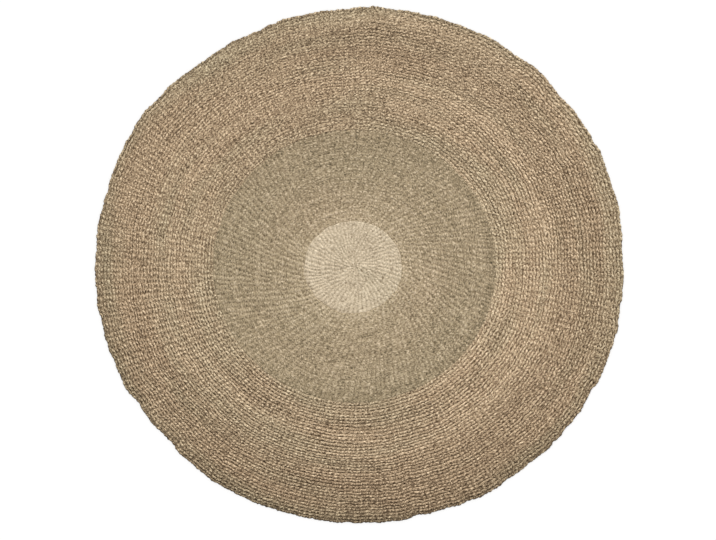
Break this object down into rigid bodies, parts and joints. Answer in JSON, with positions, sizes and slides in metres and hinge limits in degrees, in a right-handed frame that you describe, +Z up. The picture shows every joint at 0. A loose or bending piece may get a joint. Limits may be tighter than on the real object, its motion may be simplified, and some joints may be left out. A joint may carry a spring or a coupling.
{
  "type": "seagrass rug",
  "caption": "Round floor rug of twined seagrass: a pale centre, an olive field of fine yarn and a broad tan border of thick ribbed rows.",
  "frame": {"origin": "on the floor, under the middle of the outline's bounding box", "axes": "+Z up through the rug's thickness; +X to the right and +Y to the top of the picture, which looks straight down on the rug"},
  "size_m": [1.5136, 1.4786, 0.011],
  "materials": {
    "tan_seagrass": "matt, dry twisted grass, thick two-strand rows",
    "olive_seagrass": "matt, fine green-brown grass yarn",
    "pale_seagrass": "matt, fine straw-pale grass yarn"
  },
  "bodies": {
    "root": {"rug": "tan_seagrass"}
  },
  "joints": []
}
